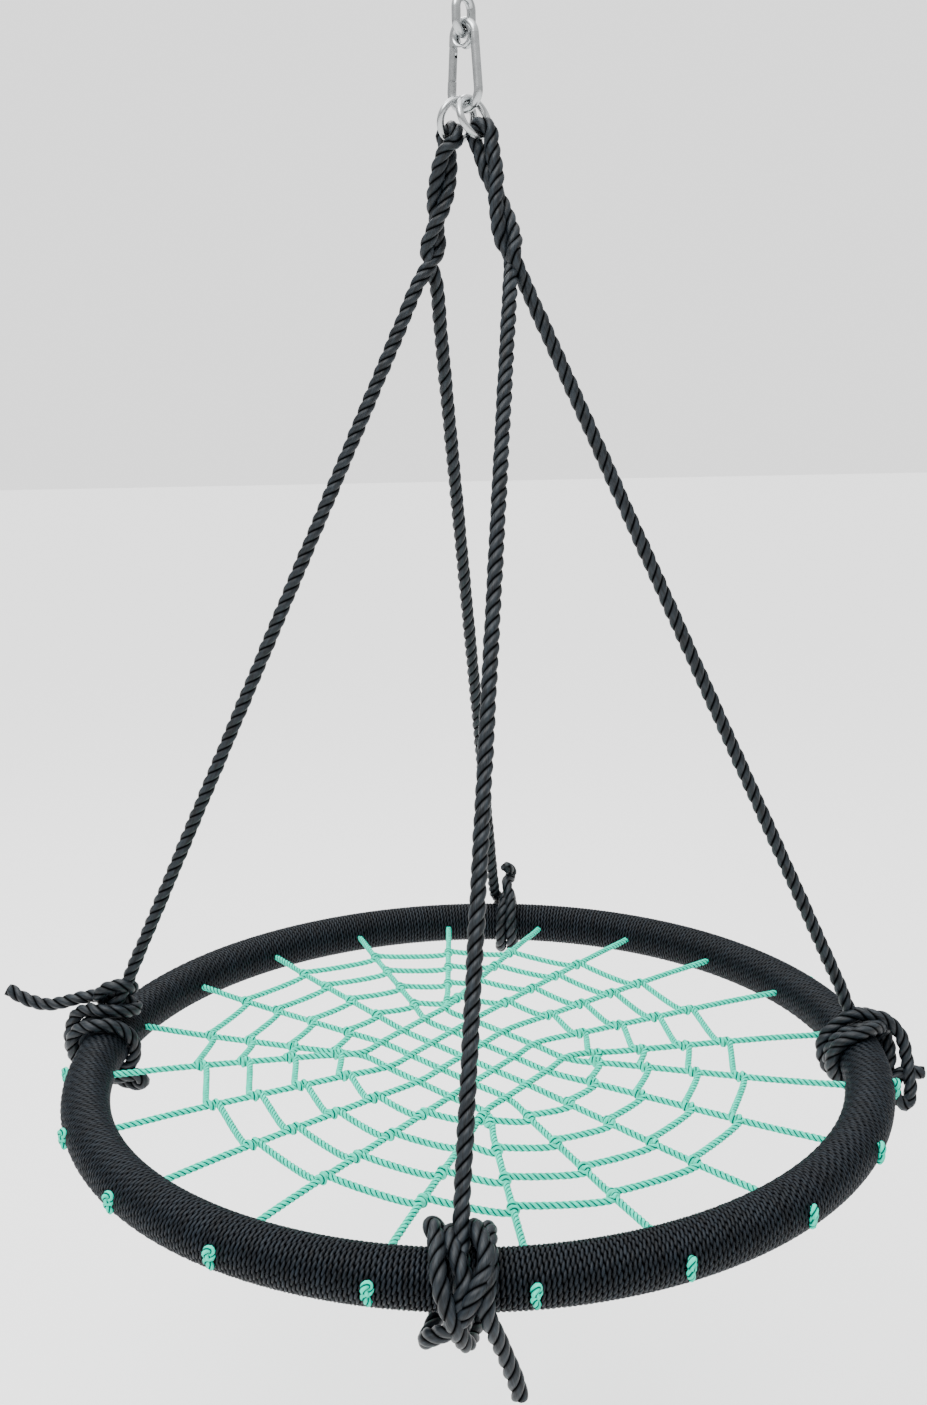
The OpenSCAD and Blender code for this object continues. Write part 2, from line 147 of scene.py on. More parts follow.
# %% Routes and side directions
def smooth(points, step, closed=False):
    """A smooth curve through the points, cut into equal steps."""
    p = np.array(points, float)
    n = len(p)
    pick = (lambda i: p[i % n]) if closed else (
        lambda i: p[i] if 0 <= i < n else (2 * p[0] - p[1] if i < 0 else 2 * p[-1] - p[-2]))
    fine = []
    for i in range(n if closed else n - 1):
        a, b, c, d = (pick(i + k) for k in (-1, 0, 1, 2))
        t1 = np.linalg.norm(b - a) ** 0.5
        t2 = t1 + np.linalg.norm(c - b) ** 0.5
        t3 = t2 + np.linalg.norm(d - c) ** 0.5
        t = np.linspace(t1, t2, 17)[:-1, None]
        ab = (t1 - t) / t1 * a + t / t1 * b
        bc = (t2 - t) / (t2 - t1) * b + (t - t1) / (t2 - t1) * c
        cd = (t3 - t) / (t3 - t2) * c + (t - t2) / (t3 - t2) * d
        abc = (t2 - t) / t2 * ab + t / t2 * bc
        bcd = (t3 - t) / (t3 - t1) * bc + (t - t1) / (t3 - t1) * cd
        fine.append((t2 - t) / (t2 - t1) * abc + (t - t1) / (t2 - t1) * bcd)
    fine.append([p[0] if closed else p[-1]])
    fine = np.concatenate(fine)
    run = np.concatenate([[0], np.cumsum(np.linalg.norm(np.diff(fine, axis=0), axis=1))])
    count = max(4, round(run[-1] / step))
    at = np.linspace(0, run[-1], count + 1)
    if closed:
        at = at[:-1]
    return np.stack([np.interp(at, run, fine[:, k]) for k in range(3)], 1), run[-1]


def sides(path, closed=False):
    """Directions of travel and two side directions at each point, with no twist along the way."""
    if closed:
        along = np.roll(path, -1, 0) - np.roll(path, 1, 0)
    else:
        along = np.gradient(path, axis=0)
    along /= np.linalg.norm(along, axis=1)[:, None]
    side = np.zeros_like(path)
    s = np.cross(along[0], (0, 0, 1) if abs(along[0][2]) < 0.8 else (1, 0, 0))
    for i, t in enumerate(along):
        s = s - (s @ t) * t
        s /= np.linalg.norm(s)
        side[i] = s
    if closed:
        t = along[0]
        last = side[-1] - (side[-1] @ t) * t
        last /= np.linalg.norm(last)
        gap = atan2(np.cross(last, side[0]) @ t, last @ side[0])
        turn = gap * np.arange(len(path)) / len(path)
        other = np.cross(along, side)
        side = np.cos(turn)[:, None] * side + np.sin(turn)[:, None] * other
    return along, side, np.cross(along, side)


demo, demo_length = smooth([(0, 0, 0), (0.1, 0, 0), (0.1, 0.1, 0)], 0.01)
print("a test route of", len(demo), "points is", round(demo_length, 3), "m long")

# %% [markdown]
# ## Laid rope
# Every rope here is laid from three strands. Seen end on, it is a clover of three round lobes, and the
# clover turns once in each length of lay. A pipe with a bump map would look flat at its outline, so the
# clover is real geometry, swept along the route. The yarns in a strand are twisted the other way and lie
# almost straight along the rope: the UV map runs straight too, and the fibre texture follows it.

# %% Laid rope
# How far out a strand's middle lies, and a strand's radius, as shares of the rope's radius
STRAND_OUT, STRAND_R = 0.36, 0.64
# How far the middle of a rope's end stands out, as a share of its radius
END_BULGE = 0.25


def mesh_piece(name, verts, faces, uvs, groove, material, body, stands_for):
    """A finished mesh from arrays of corners and faces, riding on its body. Groove is 1 between strands,
    where the finish paints shade.
    """
    mesh = bpy.data.meshes.new(name)
    verts = np.asarray(verts, np.float32)
    faces = np.asarray(faces, np.int32)
    mesh.vertices.add(len(verts))
    mesh.vertices.foreach_set("co", verts.ravel())
    corners = faces.shape[1]
    mesh.loops.add(faces.size)
    mesh.loops.foreach_set("vertex_index", faces.ravel())
    mesh.polygons.add(len(faces))
    mesh.polygons.foreach_set("loop_start", np.arange(0, faces.size, corners, dtype=np.int32))
    mesh.polygons.foreach_set("use_smooth", np.ones(len(faces), bool))
    mesh.update(calc_edges=True)
    layer = mesh.uv_layers.new(name="lay")
    layer.data.foreach_set("uv", np.asarray(uvs, np.float32).ravel())
    depth = mesh.attributes.new("groove", "FLOAT", "POINT")
    depth.data.foreach_set("value", np.asarray(groove, np.float32).ravel())
    mesh.materials.append(material)
    piece = bpy.data.objects.new(name, mesh)
    bpy.context.scene.collection.objects.link(piece)
    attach(piece, body)
    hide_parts(stands_for)
    return piece


def laid_rope(path, radius, lay, closed=False, lobe=8):
    """Corners, faces, UVs and grooves of a three-strand laid rope, with lobe corners to a strand."""
    n, around = len(path), 3 * lobe
    along, side, other = sides(path, closed)
    step = np.linalg.norm(np.diff(path, axis=0), axis=1).mean()
    run = np.arange(n) * step
    if closed:
        lay = n * step / max(1, round(n * step / lay))
    k = np.arange(around)
    off = (k % lobe) / lobe * 2 * pi / 3 - pi / 3
    clover = STRAND_OUT * np.cos(off) + np.sqrt(STRAND_R ** 2 - (STRAND_OUT * np.sin(off)) ** 2)
    # How far down between strands each corner lies, which the fibre finish darkens as painted shade
    groove = np.tile((1 - clover) / (1 - clover.min()), n)
    turn = 2 * pi * run / lay
    angle = turn[:, None] + 2 * pi * k[None] / around
    # A used rope is a little thicker here and thinner there
    uneven = 1 + 0.02 * np.sin(run / lay * 7.3 + 1.7) + 0.015 * np.sin(run / lay * 3.1)
    r = radius * clover[None] * uneven[:, None]
    verts = (path[:, None] + r[..., None] * (
        np.cos(angle)[..., None] * side[:, None] + np.sin(angle)[..., None] * other[:, None]))
    rows = n if closed else n - 1
    i = np.arange(rows)[:, None]
    j = np.arange(around)[None]
    a = i * around + j
    b = ((i + 1) % n) * around + j
    c = ((i + 1) % n) * around + (j + 1) % around
    d = i * around + (j + 1) % around
    faces = np.stack([a, b, c, d], -1).reshape(-1, 4)[:, ::-1]
    v = radius * (turn[:, None] + 2 * pi * np.arange(around + 1)[None] / around)
    v_next = np.vstack([v[1:], v[-1:] + radius * 2 * pi * step / lay])
    u = np.arange(n + 1) * step
    u0 = np.broadcast_to(u[:rows, None], (rows, around))
    u1 = np.broadcast_to(u[1:rows + 1, None], (rows, around))
    uvs = np.stack([
        np.stack([u0, v[:rows, :-1]], -1), np.stack([u1, v_next[:rows, :-1]], -1),
        np.stack([u1, v_next[:rows, 1:]], -1), np.stack([u0, v[:rows, 1:]], -1)], 2)
    uvs = uvs.reshape(-1, 4, 2)[:, ::-1]
    verts = verts.reshape(-1, 3)
    if not closed:
        ends = []
        for row, outward in ((0, -1), (n - 1, 1)):
            ends.append(path[row] + outward * along[row] * radius * END_BULGE)
            ring = row * around + np.arange(around)
            centre = np.full(around // 2, len(verts) + len(ends) - 1)
            cap = np.stack([ring[::2], ring[1::2], np.roll(ring, -2)[::2], centre], -1)
            faces = np.vstack([faces, cap[:, ::outward]])
            cap_uv = np.stack([np.full((around // 2, 4), u[row]), np.tile(v[row, :-1:2, None], (1, 4))], -1)
            uvs = np.vstack([uvs, cap_uv])
        verts = np.vstack([verts, ends])
        groove = np.concatenate([groove, [0.5, 0.5]])
    return verts, faces, uvs, groove


print("clover of 24 corners ready")

# %% [markdown]
# ## Materials
# Three finishes carry the swing. The black rope and cord are polyethylene fibre: nearly black, slightly
# blue in the highlights, with fine streaks along the yarns. The net is the same fibre in a clear
# turquoise. The metal is zinc-plated steel, bright but not polished. Plain foam is hidden in the hoop.

# %% Fibre, steel and foam
def fibre(name, painted_groove_shade, dark, light, rough, gloss, yarn, bump):
    """Twisted plastic fibre: fine yarns run along the UV map, and the grooves between strands lie low and
    carry a painted shade.
    """
    material = bpy.data.materials.new(name)
    material.use_nodes = True
    nodes, links = material.node_tree.nodes, material.node_tree.links
    shader = nodes["Principled BSDF"]
    shader.inputs["Roughness"].default_value = rough
    uv = nodes.new("ShaderNodeUVMap")
    uv.uv_map = "lay"

    def streaks(along, across, detail):
        mapping = nodes.new("ShaderNodeMapping")
        mapping.inputs["Scale"].default_value = (along, across, 1)
        noise = nodes.new("ShaderNodeTexNoise")
        noise.inputs["Scale"].default_value = 1
        noise.inputs["Detail"].default_value = detail
        links.new(uv.outputs["UV"], mapping.inputs["Vector"])
        links.new(mapping.outputs["Vector"], noise.inputs["Vector"])
        return noise.outputs["Fac"]

    # Fine and broad streaks in even parts
    fine = streaks(90, 1 / yarn, 2)
    broad = streaks(25, 0.22 / yarn, 1)
    mix = nodes.new("ShaderNodeMath")
    mix.operation = "MULTIPLY_ADD"
    mix.inputs[1].default_value = 0.5
    links.new(fine, mix.inputs[0])
    scaled = nodes.new("ShaderNodeMath")
    scaled.operation = "MULTIPLY"
    scaled.inputs[1].default_value = 0.5
    links.new(broad, scaled.inputs[0])
    links.new(scaled.outputs[0], mix.inputs[2])
    ramp = nodes.new("ShaderNodeValToRGB")
    ramp.color_ramp.elements[0].position = 0.35
    ramp.color_ramp.elements[0].color = (*dark, 1)
    ramp.color_ramp.elements[1].position = 0.68
    ramp.color_ramp.elements[1].color = (*light, 1)
    links.new(mix.outputs[0], ramp.inputs["Fac"])
    # Painted shade: the deeper the groove, the darker and duller
    depth = nodes.new("ShaderNodeAttribute")
    depth.attribute_name = "groove"
    shade = nodes.new("ShaderNodeMapRange")
    shade.interpolation_type = "SMOOTHSTEP"
    shade.inputs["From Min"].default_value = 0.25
    shade.inputs["From Max"].default_value = 0.95
    links.new(depth.outputs["Fac"], shade.inputs["Value"])
    blend = nodes.new("ShaderNodeMix")
    blend.data_type = "RGBA"
    blend.inputs["B"].default_value = (*painted_groove_shade, 1)
    links.new(shade.outputs["Result"], blend.inputs["Factor"])
    links.new(ramp.outputs["Color"], blend.inputs["A"])
    links.new(blend.outputs["Result"], shader.inputs["Base Color"])
    dull = nodes.new("ShaderNodeMapRange")
    dull.inputs["To Min"].default_value = gloss
    dull.inputs["To Max"].default_value = 0.0
    links.new(shade.outputs["Result"], dull.inputs["Value"])
    links.new(dull.outputs["Result"], shader.inputs["Specular IOR Level"])
    relief = nodes.new("ShaderNodeBump")
    relief.inputs["Strength"].default_value = 0.8
    relief.inputs["Distance"].default_value = bump
    links.new(fine, relief.inputs["Height"])
    links.new(relief.outputs["Normal"], shader.inputs["Normal"])
    return material


# Each finish's first colour is the painted shade in the grooves between strands
black_rope = fibre("black_rope_fibre", painted_groove_shade=(0.0002, 0.0003, 0.0004), dark=(0.0010, 0.0015, 0.0022),
                   light=(0.014, 0.0205, 0.027), rough=0.45, gloss=0.25, yarn=0.0011, bump=0.0005)
black_cord = fibre("black_cord_fibre", painted_groove_shade=(0.0001, 0.0001, 0.0002), dark=(0.0006, 0.0010, 0.0016),
                   light=(0.009, 0.0145, 0.021), rough=0.45, gloss=0.15, yarn=0.0009, bump=0.0004)
net_fibre = fibre("turquoise_net_fibre", painted_groove_shade=(0.0, 0.045, 0.03), dark=(0.0, 0.42, 0.28),
                  light=(0.002, 0.82, 0.56), rough=0.5, gloss=0.08, yarn=0.0007, bump=0.0002)


def steel(name, colour, rough, mottle):
    """Zinc-plated steel: a cloudy plated skin with fine drawing marks."""
    material = bpy.data.materials.new(name)
    material.use_nodes = True
    nodes, links = material.node_tree.nodes, material.node_tree.links
    shader = nodes["Principled BSDF"]
    shader.inputs["Metallic"].default_value = 1
    place = nodes.new("ShaderNodeTexCoord")
    cloud = nodes.new("ShaderNodeTexNoise")
    cloud.inputs["Scale"].default_value = 160
    cloud.inputs["Detail"].default_value = 5
    links.new(place.outputs["Object"], cloud.inputs["Vector"])
    tint = nodes.new("ShaderNodeValToRGB")
    tint.color_ramp.elements[0].color = (*[c * (1 - mottle) for c in colour], 1)
    tint.color_ramp.elements[1].color = (*colour, 1)
    tint.color_ramp.elements[0].position = 0.3
    tint.color_ramp.elements[1].position = 0.6
    links.new(cloud.outputs["Fac"], tint.inputs["Fac"])
    links.new(tint.outputs["Color"], shader.inputs["Base Color"])
    gloss = nodes.new("ShaderNodeMapRange")
    gloss.inputs["To Min"].default_value = rough * 0.75
    gloss.inputs["To Max"].default_value = rough * 1.35
    links.new(cloud.outputs["Fac"], gloss.inputs["Value"])
    links.new(gloss.outputs["Result"], shader.inputs["Roughness"])
    pits = nodes.new("ShaderNodeTexNoise")
    pits.inputs["Scale"].default_value = 900
    pits.inputs["Detail"].default_value = 3
    links.new(place.outputs["Object"], pits.inputs["Vector"])
    relief = nodes.new("ShaderNodeBump")
    relief.inputs["Strength"].default_value = 0.25
    relief.inputs["Distance"].default_value = 0.0001
    links.new(pits.outputs["Fac"], relief.inputs["Height"])
    links.new(relief.outputs["Normal"], shader.inputs["Normal"])
    return material


def porous(name, colour):
    """Soft foam with small open cells."""
    material = bpy.data.materials.new(name)
    material.use_nodes = True
    nodes, links = material.node_tree.nodes, material.node_tree.links
    shader = nodes["Principled BSDF"]
    shader.inputs["Base Color"].default_value = (*colour, 1)
    shader.inputs["Roughness"].default_value = 0.95
    place = nodes.new("ShaderNodeTexCoord")
    cells = nodes.new("ShaderNodeTexVoronoi")
    cells.inputs["Scale"].default_value = 700
    links.new(place.outputs["Object"], cells.inputs["Vector"])
    relief = nodes.new("ShaderNodeBump")
    relief.inputs["Distance"].default_value = 0.0003
    links.new(cells.outputs["Distance"], relief.inputs["Height"])
    links.new(relief.outputs["Normal"], shader.inputs["Normal"])
    return material


zinc = steel("zinc_plated_steel", colour=(0.42, 0.435, 0.44), rough=0.24, mottle=0.14)
dark_steel = steel("plain_spring_steel", colour=(0.30, 0.31, 0.33), rough=0.35, mottle=0.3)
foam = porous("grey_foam", colour=(0.16, 0.16, 0.17))
print("materials:", [m.name for m in (black_rope, black_cord, net_fibre, zinc, dark_steel, foam)])

# %% [markdown]
# ## Metal pieces
# The link, the snap hook with its eyelet and gate, and the two rings are exact in the CAD model, so they
# stay as they are and only take their finish. The tube and the foam inside the hoop are hidden by the
# winding, and the spring by its sleeve, but they take a finish too.

# %% Metal pieces and padding
finishes = {zinc: ("hang_link", "snap_hook", "hook_eyelet", "hook_gate", "gate_pin", "gate_plunger",
                   "steel_ring_left", "steel_ring_right"),
            dark_steel: ("gate_spring", "hoop_tube"), foam: ("hoop_padding",)}
for material, names in finishes.items():
    for name in names:
        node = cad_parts[name]
        node.data.materials.clear()
        node.data.materials.append(material)
        node.data.polygons.foreach_set("use_smooth", np.ones(len(node.data.polygons), bool))
print("painted:", {material.name: len(names) for material, names in finishes.items()})

# %% [markdown]
# ## Wound hoop
# The hoop is a steel tube in soft padding, wound tightly with about six hundred turns of a thin
# three-strand cord. Each turn shows as a row of slanting lozenges. The surface is one fine grid that
# follows the winding, and every point of it is lifted to the outside of the nearest strand.

# %% Wound hoop
HOOP_MID = np.array((-7, 0, -1235)) * MM
TUBE_R, CORD_D, TURNS = 29 * MM, 5 * MM, 600
HOOP_R = 508 * MM - TUBE_R
ACROSS, AROUND, ARCS = 7, 112, 8
CORD_LAY = 24.6 * MM
# How far out a strand's middle lies in the cord, as a share of the strand's radius
CORD_STRAND_OUT = 1.05
# Neighbouring turns press on each other, so only this much of a cord's width shows
PRESSED = 0.82
# How deep the skin lies where no strand covers it, as a share of the cord's width
GAP_DEPTH = 0.35


def strand_height(across, phase):
    """How far a three-strand cord stands out from its middle line, across its width."""
    strand = CORD_D / 2 / (1 + CORD_STRAND_OUT)
    best = np.full(np.broadcast(across, phase).shape, -GAP_DEPTH * CORD_D)
    for k in range(3):
        a = phase + 2 * pi * k / 3
        x = across - strand * CORD_STRAND_OUT * np.sin(a)
        lift = strand * CORD_STRAND_OUT * np.cos(a) + np.sqrt(np.maximum(strand ** 2 - x ** 2, 0))
        best = np.where(np.abs(x) < strand, np.maximum(best, lift), best)
    return best


def wound_arc(arc):
    """One eighth of the wound hoop."""
    turns = TURNS // ARCS
    i = np.arange(turns * ACROSS + 1)[:, None] + arc * turns * ACROSS
    j = np.arange(AROUND + 1)[None]
    phi = 2 * pi * j / AROUND
    turn = i // ACROSS
    across = ((i % ACROSS) / ACROSS - 0.5) * CORD_D
    theta = 2 * pi / TURNS * (i / ACROSS - phi / (2 * pi))
    run = (TUBE_R - CORD_D / 2) * (phi - 2 * pi * turn)
    # No turn starts at quite the same point of its strands as the turn before
    wobble = 0.25 * np.sin(turn * 1.7) + 0.2 * np.sin(turn * 0.31 + 1)
    height = strand_height(PRESSED * across, 2 * pi * run / CORD_LAY + wobble)
    # How far down between strands the skin lies, which the cord's finish darkens as painted shade
    groove = np.clip(1 - (height / CORD_D - 0.2) / 0.3, 0, 1)
    r = TUBE_R - CORD_D / 2 + height
    ring = HOOP_R + r * np.cos(phi)
    verts = np.stack([ring * np.cos(theta), ring * np.sin(theta), r * np.sin(phi)], -1) + HOOP_MID
    rows, cols = i.shape[0] - 1, AROUND
    a = (np.arange(rows)[:, None] * (AROUND + 1) + np.arange(cols)[None])
    faces = np.stack([a, a + 1, a + AROUND + 2, a + AROUND + 1], -1).reshape(-1, 4)[:, ::-1]
    # Each turn takes its own strip of the fibre texture
    u = np.broadcast_to(run, verts.shape[:2])
    v = np.broadcast_to(across + turn * 0.013, verts.shape[:2])
    uv = np.stack([u, v], -1).reshape(-1, 2)
    groove = np.broadcast_to(groove, verts.shape[:2])
    return verts.reshape(-1, 3), faces, uv[faces], groove


for arc in range(ARCS):
    soft = wound_arc(arc)
    piece = mesh_piece(f"wound_cord_{arc + 1}", *soft, black_cord, "seat", "hoop_winding")
print("wound hoop:", ARCS, "arcs of", len(soft[1]), "faces")

# %% [markdown]
# ## Hanging ropes
# Each rope runs from one hitch on the hoop up to a steel ring, through it, twists round itself and runs
# down to the next hitch. The points below are in the hoop's own directions: outward from the middle of
# the tube, along the hoop and upward.

# %% Places on the hoop and on the hook
def hoop_point(azimuth, out, along, up):
    """A point near the tube, from outward, along and upward distances in mm."""
    a = radians(azimuth) + along * MM / HOOP_R
    r = HOOP_R + out * MM
    return HOOP_MID + np.array((r * cos(a), r * sin(a), up * MM))


def flat(azimuth):
    """A level direction from its azimuth."""
    return np.array((cos(radians(azimuth)), sin(radians(azimuth)), 0.0))


UP = np.array((0.0, 0.0, 1.0))
ROPE_R = 8 * MM
# The hook's own sideways direction, and the round bottom of the hook in which the rings lie
HOOK_X = flat(-40)
BASKET_Z, BASKET_R = -91.6 * MM, 19 * MM
# How far beside the hook's middle a ring bears on it, and from there to the ring's own middle
RING_ASIDE, RING_HANG = 8 * MM, 12.7 * MM
RING_R = 22 * MM
RING_LEAN = radians(20)
# The rope lies a little off the ring's lowest point, and bends round its bar at this radius
SADDLE_OFF, SADDLE_R = radians(13), 12.6 * MM
# Points on one leg of the twist, how far the legs press together, and where the gap under the ring has closed
TWIST_POINTS, TWIST_SQUEEZE, TWIST_CLOSES = 13, 0.98, 0.3


class Ring:
    """Where a steel ring hangs and where its rope lies in it: its side is -1 or 1, its turn an azimuth."""

    def __init__(self, side, turn):
        seat = HOOK_X * side * RING_ASIDE + UP * (BASKET_Z - sqrt(BASKET_R ** 2 - RING_ASIDE ** 2))
        self.down = sin(RING_LEAN) * side * HOOK_X - cos(RING_LEAN) * UP
        across = flat(turn) - (flat(turn) @ self.down) * self.down
        across /= np.linalg.norm(across)
        self.saddle_down = cos(SADDLE_OFF) * self.down + sin(SADDLE_OFF) * side * across
        self.saddle = seat + RING_HANG * self.down + RING_R * self.saddle_down
        self.normal = np.cross(across, self.down)


ring_left, ring_right = Ring(-1, 35), Ring(1, 47)


def twist_foot(ring, azimuth_1, azimuth_2, share, drop):
    """Where the twisted stretch ends and its two legs part, a drop in mm below the ring."""
    aim = share * hoop_point(azimuth_1, 0, 0, 0) + (1 - share) * hoop_point(azimuth_2, 0, 0, 0)
    return ring.saddle + drop * MM / (ring.saddle[2] - aim[2]) * (aim - ring.saddle)


def twisted(ring, foot, way, turns):
    """One leg of the twisted stretch, from its foot up to the ring.

    Each of the turns pairs a share of the way down with an angle."""
    first = way * ring.normal
    first = degrees(atan2(first[1], first[0]))
    share, angle = zip(*turns)
    points = []
    for k in range(TWIST_POINTS, 0, -1):
        f = k / TWIST_POINTS
        gap = ROPE_R * TWIST_SQUEEZE + (SADDLE_R - ROPE_R) * max(0, 1 - f / TWIST_CLOSES) ** 2
        turned = flat(first - np.interp(f, share, angle))
        points.append(ring.saddle + f * (foot - ring.saddle) + gap * turned)
    return points


def bight(ring, way):
    """The rope over the bar of its ring."""
    over = [radians(a) for a in range(0, 181, 30)]
    return [ring.saddle + SADDLE_R * (cos(a) * way * ring.normal - sin(a) * ring.saddle_down) for a in over]


print("rings at", (ring_left.saddle / MM).round(1), (ring_right.saddle / MM).round(1))

# %% [markdown]
# ### The four hitches
# Every hitch is tied a little differently, as by hand: round turns on the hoop, a tuck across them and a
# free end. Each list runs from the standing part down to the free end. Its single points are (outward,
# along, upward) in mm, and the turns between them come from `wrap`.

# %% Hitches
# Azimuths of the four hitches on the hoop
HITCH_LEFT = 172
HITCH_BACK = 84.5
HITCH_RIGHT = 0
HITCH_FRONT = 268.1


def wrap(*keys, turn=0):
    """Points round the tube from keys of (angle, distance, along): 0 is outward and 90 is upward."""
    keys = [(a + turn, r, l) for a, r, l in keys]
    points = []
    for (a1, r1, l1), (a2, r2, l2) in zip(keys, keys[1:]):
        steps = max(1, round(abs(a2 - a1) / 30))
        for k in range(steps):
            f = k / steps
            a, r = radians(a1 + f * (a2 - a1)), r1 + f * (r2 - r1)
            points.append((r * cos(a), l1 + f * (l2 - l1), r * sin(a)))
    a, r, l = keys[-1]
    return points + [(r * cos(radians(a)), l, r * sin(radians(a)))]


left_hitch = (
    [(-18, -4, 70)]
    + wrap((95, 47, 2), (60, 40, 6), (0, 38, 10), (-60, 38, 14), (-180, 37, 24), (-227, 39, 36),
           (-260, 40, 46), (-285, 40, 48), (-310, 43, 42), (-340, 43, 38), (-380, 42, 30), (-440, 44, 25))
    + [(-38, 25, -38), (-44, 20, -50), (-28, 13, -56), (0, 10, -49), (32, 8, -42), (50, 9, -22), (55, 10, 6),
       (44, 10, 36), (26, 14, 46), (4, 19, 47), (-14, 12, 44), (-26, -5, 39), (-27, -18, 38), (-14, -21, 45),
       (2, -16, 50), (13, -6, 52), (14, 4, 60), (6, 9, 71), (-8, 9, 77), (-23, 0, 75), (-26, -12, 68),
       (-12, -18, 59), (6, -10, 56), (20, -3, 58), (40, 0, 56), (62, 1, 50), (85, 1, 45), (106, 1, 48),
       (124, 1, 55), (140, 0, 64)])
back_hitch = (
    [(-17, 11, 70)]
    + wrap((90, 48, 10), (60, 42, 8), (0, 39, 5), (-90, 39, 1), (-180, 38, -2), (-250, 42, -6),
           (-285, 45, -11), (-360, 41, -14), (-450, 40, -18), (-540, 40, -20), (-590, 43, -18),
           (-618, 52, -14))
    + [(2, -9, 64), (18, -12, 66), (24, -15, 74), (14, -12, 84), (2, -8, 90)])
right_hitch = (
    [(-20, 2, 78)]
    + wrap((97, 46, 2), (60, 40, 18), (0, 38, 24), (-60, 38, 8), (-120, 38, -10), (-180, 38, -26),
           (-230, 38, -31), (-270, 38, -31), (-300, 39, -16), (-330, 39, 8), (-370, 40, 16),
           (-420, 41, 0), (-480, 39, -30), (-540, 38, -43), (-590, 38, -47), (-625, 39, -43),
           (-650, 41, -30), (-680, 43, -2), (-700, 43, 12), (-735, 46, 0), (-765, 48, -13), (-800, 45, -10),
           (-860, 42, -8), (-920, 44, -6))
    + [(-6, -5, 46), (12, -5, 45), (36, -5, 38), (55, -6, 17), (62, -10, -10), (63, -18, -28),
       (64, -25, -48), (58, -31, -62), (46, -31, -54), (43, -24, -38), (56, -14, -29), (72, -11, -29),
       (83, -10, -32)])
front_hitch = (
    [(-16, -3, 70)]
    + wrap((95, 50, -3), (60, 40, -3), (0, 38, -2), (-60, 38, -3), (-180, 38, -9), (-240, 42, -12),
           (-265, 47, -14), (-290, 46, -8), (-320, 46, 0), (-343, 47, -3), (-360, 46, -8), (-410, 46, -7),
           (-450, 45, 0), (-540, 40, 4), (-600, 46, 8), (-625, 53, 11), (-652, 50, 19), (-672, 49, 17),
           (-695, 52, 8), (-715, 52, 0), (-745, 49, -17), (-765, 50, -32), (-785, 54, -36), (-815, 50, -31),
           (-860, 42, -27), (-900, 40, -27), (-960, 47, -30), (-980, 53, -31.6), (-995, 51, -26),
           (-1032, 51, -22), (-1060, 53, -16), (-1083, 54, -8), (-1125, 54, 0), (-1170, 50, 8),
           (-1230, 41, 15), (-1290, 41, 20), (-1335, 46, 22), (-1360, 46, 22), (-1385, 46, 22),
           (-1412, 46, 19), (-1435, 47, 18), (-1460, 49, 24), turn=-7)
    + [(38, 30, -42), (34, 36, -62), (30, 42, -83), (26, 47, -105)])
print("hitches of", [len(hitch) for hitch in (left_hitch, back_hitch, right_hitch, front_hitch)], "points")

# %% [markdown]
# ### From hitch to hitch
# Between a hitch and the twist a rope is taut, so its leg is straight. A few points along it are enough to
# hold the smooth curve to the line.

# %% Hanging ropes
# The laid rope's radius over the tops of its strands, its length of lay, and the steps along it
LAID_R, ROPE_LAY, ROPE_STEP = 8.8 * MM, 47 * MM, 3.2 * MM
STRAIGHT = (0.04, 0.1, 0.25, 0.5, 0.75, 0.9, 0.96)
# The twist as pairs of a share of the way down and an angle
LEFT_TWIST = ((0, 0), (0.1, 45), (0.2, 80), (0.38, 105), (0.63, 175), (0.88, 250), (1, 278))
RIGHT_TWIST = ((0, 0), (0.3, 0), (0.55, 75), (0.78, 115), (0.93, 180), (1, 215))


def leg(azimuth, hitch, foot):
    """From the free end of a hitch, round the hoop and up to the foot of the twist."""
    tied = [hoop_point(azimuth, o, a, u) for o, a, u in reversed(hitch)]
    last = tied[-1]
    return tied + [last + f * (foot - last) for f in STRAIGHT]


def hanging_rope(name, ring, share, drop, turns, first, second, way):
    """A rope doubled through its ring and hitched at both ends."""
    foot = twist_foot(ring, first[0], second[0], share, drop)
    points = (leg(*first, foot) + twisted(ring, foot, way, turns) + bight(ring, way)
              + twisted(ring, foot, -way, turns)[::-1] + leg(*second, foot)[::-1])
    path, length = smooth(points, ROPE_STEP)
    soft = laid_rope(path, LAID_R, ROPE_LAY)
    piece = mesh_piece(name, *soft, black_rope, "seat", name.replace("laid", "hanging"))
    print(name, round(length, 3), "m", len(soft[1]), "faces")


hanging_rope("laid_rope_left", ring_left, 0.5, 114, LEFT_TWIST,
             (HITCH_LEFT, left_hitch), (HITCH_BACK, back_hitch), -1)
hanging_rope("laid_rope_right", ring_right, 0.6, 128, RIGHT_TWIST,
             (HITCH_RIGHT, right_hitch), (HITCH_FRONT, front_hitch), 1)

# %% [markdown]
# ## Net
# Ten ropes run from hoop to hoop and cross in the middle in a small grid. Four ring ropes go round, and
# each takes a turn round every spoke that it meets. Outside the hoop each rope ends in a stopper knot.

# %% Net plan
NET_R, NET_LAY, NET_STEP = 4.2 * MM, 21 * MM, 1.5 * MM
ANCHORS = 20
# Azimuth of the first hole in the hoop, and the two holes that are off their even places, in degrees
FIRST_ANCHOR = 94.8
OFF_PLACE = {11: 0.7, 12: 1.0}
# The net's plan is in mm, seen from above, from the hoop's middle
RIM_R = 449
GRID_MID = np.array((-13.5, -4.0))
# Distances between the crossings along the ropes of each family, and the height of a family off the middle
PITCH_A, PITCH_B = 43.5, 55.5
LEVEL = 2.4
